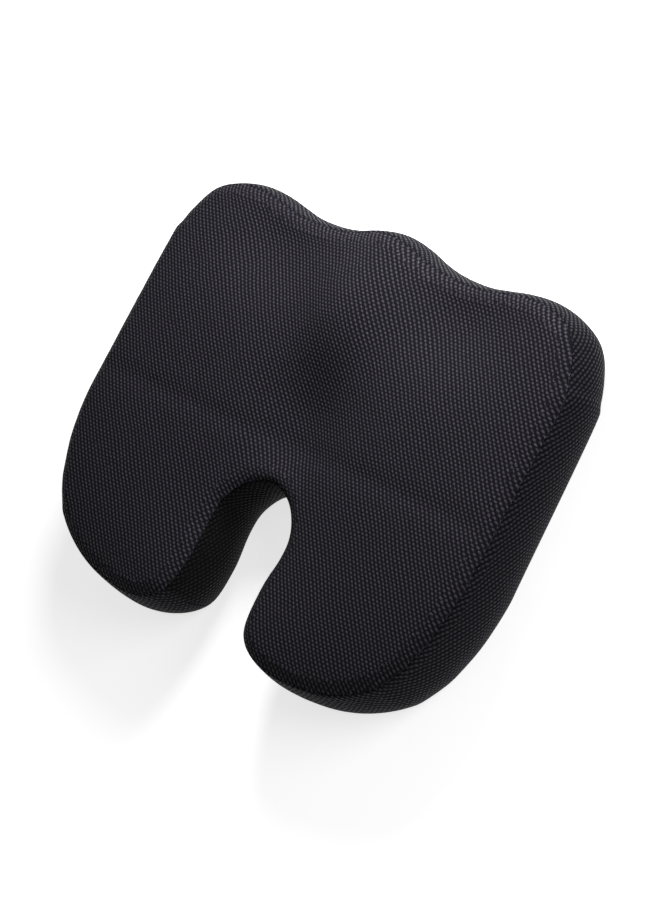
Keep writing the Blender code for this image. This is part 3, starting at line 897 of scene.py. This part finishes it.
def inside_loop(spots, loop):
    """Which points in plan lie inside a closed loop."""
    inside = np.zeros(len(spots), bool)
    for a, b in zip(loop, np.roll(loop, -1, 0)):
        crosses = (a[1] > spots[:, 1]) != (b[1] > spots[:, 1])
        x = a[0] + (spots[:, 1] - a[1]) * (b[0] - a[0]) / (b[1] - a[1] if b[1] != a[1] else 1e-12)
        inside ^= crosses & (spots[:, 0] < x)
    return inside


def stitch(length, radius):
    """One stitch along X, as a thin rod with rounded ends."""
    bm = bmesh.new()
    bmesh.ops.create_uvsphere(bm, u_segments=6, v_segments=4, radius=1.0,
                              matrix=Matrix.Rotation(math.radians(90.0), 4, "Y"))
    bmesh.ops.scale(bm, vec=(length / 2.0, radius, radius), verts=bm.verts)
    return mesh_of(bm, "stitch")


class CUSHION_OT_stitches(bpy.types.Operator):
    """Sew the upper and the lower seam and the zip's edges"""

    bl_idname = "cushion.stitches"
    bl_label = "Stitches"

    def execute(self, context):
        body, thread = sewn_body(), context.scene.cushion_thread
        # Bonded polyester sewing thread: twisted and faintly glossy.
        yarn = grained("polyester_thread", "2c2c2f", 0.5, 2500.0, 0.1 * MM)
        length = thread.pitch * STITCH_SHARE
        last = len(body.heights) - 1
        for name, node, row, proud in (("upper_seam_stitches", "top_seam_thread", 0, 0.1 * MM),
                                       ("lower_seam_stitches", "base_seam_thread", last, 0.3 * MM)):
            places = [frame_at(point + out * proud, along, out)
                      for point, along, out in body.along_ring(row, thread.pitch)]
            item = show(name, repeat(stitch(length, thread.radius), places), yarn)
            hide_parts(node)
        for side in ("upper", "lower"):
            node = "zip_topstitch_" + side
            low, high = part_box(node)
            start, end = body.rim.arc[body.zip_rear], body.rim.arc[body.zip_front]
            places = []
            for k in range(1, int((end - start) / thread.pitch)):
                point, along, out = body.on_wall(start + k * thread.pitch, (low.z + high.z) / 2.0,
                                                 0.25 * MM)
                places.append(frame_at(point, along, out))
            item = show("zip_edge_stitches_" + side, repeat(stitch(length, thread.radius), places), yarn)
            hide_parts(node)
        return {"FINISHED"}


class CUSHION_OT_zip(bpy.types.Operator):
    """Build the zip's tapes, coils, stops, slider and pull tab"""

    bl_idname = "cushion.zip"
    bl_label = "Zip"

    def execute(self, context):
        body, size = sewn_body(), context.scene.cushion_zip
        # Woven polyester tape: its 0.4 mm ribs are drawn at 0.9 mm so that they show.
        ribs = woven("woven_zip_tape", "202023", 0.9 * MM, 0.8, "weave")
        for number, name, node in TAPE_PANELS:
            bm = body.panel(number)
            for vertex in bm.verts:
                vertex.co -= vertex.normal * TAPE_SUNK
            item = show(name, bm, ribs)
            wall = item.modifiers.new("tape", "SOLIDIFY")
            wall.thickness = TAPE_THICKNESS
            wall.offset = -1.0
            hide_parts(node)
        # Nylon monofilament coil: smooth and half glossy.
        nylon = grained("nylon_coil", "26262a", 0.36, 900.0, 0.04 * MM)
        start = body.rim.arc[body.zip_rear] + COIL_END
        end = body.rim.arc[body.zip_front] - COIL_END
        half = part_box("zip_teeth_upper")[1].z - body.zip_middle
        for side, name in ((1.0, "upper"), (-1.0, "lower")):
            turn = bmesh.new()
            bmesh.ops.create_uvsphere(turn, u_segments=8, v_segments=5, radius=1.0)
            bmesh.ops.scale(turn, vec=(size.wire * 1.35, half * COIL_WIDTH, COIL_DEPTH), verts=turn.verts)
            places = []
            shift = 0.25 if side > 0 else 0.75
            for k in range(int((end - start) / size.tooth_pitch)):
                arc = start + (k + shift) * size.tooth_pitch
                height = body.zip_middle + side * half * COIL_PLACE
                point, along, out = body.on_wall(arc, height, -COIL_SUNK)
                places.append(frame_at(point, along, out))
            item = show("zip_coil_" + name, repeat(mesh_of(turn, "coil_turn"), places), nylon)
            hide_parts("zip_teeth_" + name)
        # Black enamel on die-cast zinc: smooth, with a clear gloss.
        enamel = grained("black_enamel", "1c1c1f", 0.3, 300.0, 0.03 * MM, coat=0.5)
        for node in ("zip_top_stop_upper", "zip_top_stop_lower", "zip_bottom_stop"):
            bm = merged_copy(node)
            bmesh.ops.dissolve_limit(bm, angle_limit=math.radians(4.0), verts=bm.verts, edges=bm.edges)
            bmesh.ops.bevel(bm, geom=bm.edges[:], offset=CRIMP_EDGE, segments=2, profile=0.5,
                            affect="EDGES", material=-1)
            item = show(node + "_crimp", bm, enamel)
            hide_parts(node)
        for node in ("zip_slider", "zip_pull_tab"):
            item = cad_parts[node]
            item.data.materials.clear()
            item.data.materials.append(enamel)
        return {"FINISHED"}


class CUSHION_OT_stage(bpy.types.Operator):
    """Set the floor, the lights and the camera"""

    bl_idname = "cushion.stage"
    bl_label = "Stage"

    def execute(self, context):
        stage = context.scene.cushion_stage
        # Matt white paper sweep.
        paper = grained("matt_paper", "f4f4f4", 0.9, 40.0, 0.02 * MM, spread=0.01, glow=stage.glow)
        bm = bmesh.new()
        bmesh.ops.create_grid(bm, x_segments=8, y_segments=8, size=FLOOR_REACH)
        bmesh.ops.translate(bm, verts=bm.verts, vec=(0.0, 0.0, -FLOOR_DROP))
        mesh = bpy.data.meshes.new("floor")
        bm.to_mesh(mesh)
        bm.free()
        mesh.materials.append(paper)
        floor = bpy.data.objects.new("floor", mesh)
        context.scene.collection.objects.link(floor)
        floor.visible_diffuse = False  # the bright floor doesn't light the cushion from below
        floor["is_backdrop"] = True

        world = bpy.data.worlds.new("studio")
        world.use_nodes = True
        sky = world.node_tree.nodes["Background"]
        sky.inputs["Color"].default_value = (1.0, 1.0, 1.0, 1.0)
        sky.inputs["Strength"].default_value = stage.sky
        context.scene.world = world
        context.scene.view_settings.view_transform = "Standard"
        for name, at, wide, power in LIGHTS:
            lamp = bpy.data.lights.new(name, "AREA")
            lamp.shape = "DISK"
            lamp.size = wide
            lamp.energy = power * stage.key_power
            light = bpy.data.objects.new(name, lamp)
            light.location = at
            light.rotation_euler = (-Vector(at)).to_track_quat("-Z", "Y").to_euler()
            context.scene.collection.objects.link(light)

        lens = bpy.data.cameras.new("camera")
        lens.lens = stage.lens
        lens.sensor_width = 36.0
        camera = bpy.data.objects.new("camera", lens)
        at, aim = Vector(stage.camera_at), Vector(stage.aim_at)
        turn = (aim - at).to_track_quat("-Z", "Y").to_matrix() @ Matrix.Rotation(stage.roll, 3, "Z")
        camera.matrix_world = Matrix.Translation(at) @ turn.to_4x4()
        context.scene.collection.objects.link(camera)
        context.scene.camera = camera
        return {"FINISHED"}


class CUSHION_PT_panel(bpy.types.Panel):
    """Lists the cushion's pieces and their settings"""

    bl_idname = "CUSHION_PT_panel"
    bl_label = "Seat cushion"
    bl_space_type = "VIEW_3D"
    bl_region_type = "UI"
    bl_category = "Cushion"

    def draw(self, context):
        for operator in OPERATORS:
            self.layout.operator(operator.bl_idname)
        for name in SETTINGS:
            group = getattr(context.scene, name)
            box = self.layout.box()
            for key in group.__annotations__:
                box.prop(group, key)


OPERATORS = (CUSHION_OT_foam, CUSHION_OT_cover, CUSHION_OT_base, CUSHION_OT_stitches, CUSHION_OT_zip,
             CUSHION_OT_stage)
SETTINGS = {"cushion_cover": CoverSettings, "cushion_base": BaseSettings, "cushion_thread": ThreadSettings,
            "cushion_zip": ZipSettings, "cushion_stage": StageSettings}


def register():
    for group in SETTINGS.values():
        bpy.utils.register_class(group)
    for name, group in SETTINGS.items():
        setattr(bpy.types.Scene, name, PointerProperty(type=group))
    for operator in OPERATORS:
        bpy.utils.register_class(operator)
    bpy.utils.register_class(CUSHION_PT_panel)


def unregister():
    bpy.utils.unregister_class(CUSHION_PT_panel)
    for operator in reversed(OPERATORS):
        bpy.utils.unregister_class(operator)
    for name, group in reversed(list(SETTINGS.items())):
        delattr(bpy.types.Scene, name)
        bpy.utils.unregister_class(group)


def main():
    register()
    bpy.ops.cushion.foam()
    bpy.ops.cushion.cover()
    bpy.ops.cushion.base()
    bpy.ops.cushion.stitches()
    bpy.ops.cushion.zip()
    bpy.ops.cushion.stage()
    bpy.data.objects.remove(BODY.pop("made").item)
    boxes = {"cad": CAD_BOX, "visual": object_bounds()}
    {name: [list(low), list(high)] for name, (low, high) in boxes.items()}


if __name__ == "__main__":
    main()
